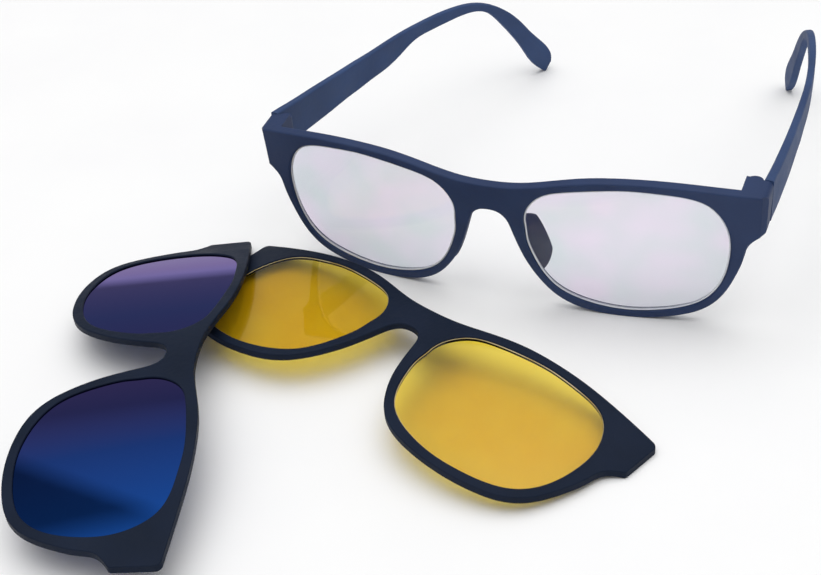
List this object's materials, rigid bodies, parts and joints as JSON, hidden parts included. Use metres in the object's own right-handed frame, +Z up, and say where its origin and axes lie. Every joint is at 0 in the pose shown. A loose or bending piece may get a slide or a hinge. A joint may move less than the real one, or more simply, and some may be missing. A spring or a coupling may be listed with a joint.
{
  "type": "glasses with magnetic clip-on sun shades",
  "caption": "Moulded plastic glasses with folding temples, clear lenses and two magnetic clip-on sun shades, one amber and one blue mirrored, lying beside them.",
  "frame": {"origin": "on the table, under the middle of the whole set's bounding box", "axes": "+X to the right seen from in front of the glasses, which is the wearer's left; +Y from the front back along the temples; +Z up. Left and right in node names are the wearer's."},
  "size_m": [0.1765, 0.264, 0.0434],
  "materials": {
    "front_plastic": "matte navy moulded plastic",
    "temple_plastic": "matte navy moulded plastic, a little lighter",
    "clear_lens": "clear coated lens",
    "clip_plastic": "matte slate blue moulded plastic",
    "yellow_lens": "amber tinted, see-through",
    "blue_lens": "blue mirror coating",
    "magnet_nickel": "nickel-plated magnet",
    "screw_steel": "plain steel",
    "insert_brass": "plain brass"
  },
  "bodies": {
    "front": {"front_frame": "front_plastic", "lens_left": "clear_lens", "lens_right": "clear_lens", "hinge_screw_left": "screw_steel", "hinge_screw_right": "screw_steel", "hinge_insert_left": "insert_brass", "hinge_insert_right": "insert_brass", "frame_magnet_left": "magnet_nickel", "frame_magnet_right": "magnet_nickel"},
    "temple_left": {"temple_left": "temple_plastic"},
    "temple_right": {"temple_right": "temple_plastic"},
    "yellow_clip": {"yellow_clip_frame": "clip_plastic", "yellow_clip_lens_left": "yellow_lens", "yellow_clip_lens_right": "yellow_lens", "yellow_clip_magnet_left": "magnet_nickel", "yellow_clip_magnet_right": "magnet_nickel"},
    "blue_clip": {"blue_clip_frame": "clip_plastic", "blue_clip_lens_left": "blue_lens", "blue_clip_lens_right": "blue_lens", "blue_clip_magnet_left": "magnet_nickel", "blue_clip_magnet_right": "magnet_nickel"}
  },
  "joints": [
    {"name": "temple_left_hinge", "type": "hinge", "parent": "front", "child": "temple_left", "pos_m": [0.0837, 0.00834, 0.0354], "axis": [0, 0, 1], "range_deg": [0, 82]},
    {"name": "temple_right_hinge", "type": "hinge", "parent": "front", "child": "temple_right", "pos_m": [-0.0441, 0.00834, 0.0354], "axis": [0, 0, -1], "range_deg": [-11.1, 60.9]},
    {"name": "yellow_clip_lift", "type": "slide", "parent": "front", "child": "yellow_clip", "axis": [0, 0, 1], "range_m": [0, 0.06]},
    {"name": "blue_clip_lift", "type": "slide", "parent": "yellow_clip", "child": "blue_clip", "axis": [0, 0, 1], "range_m": [0, 0.06]}
  ]
}
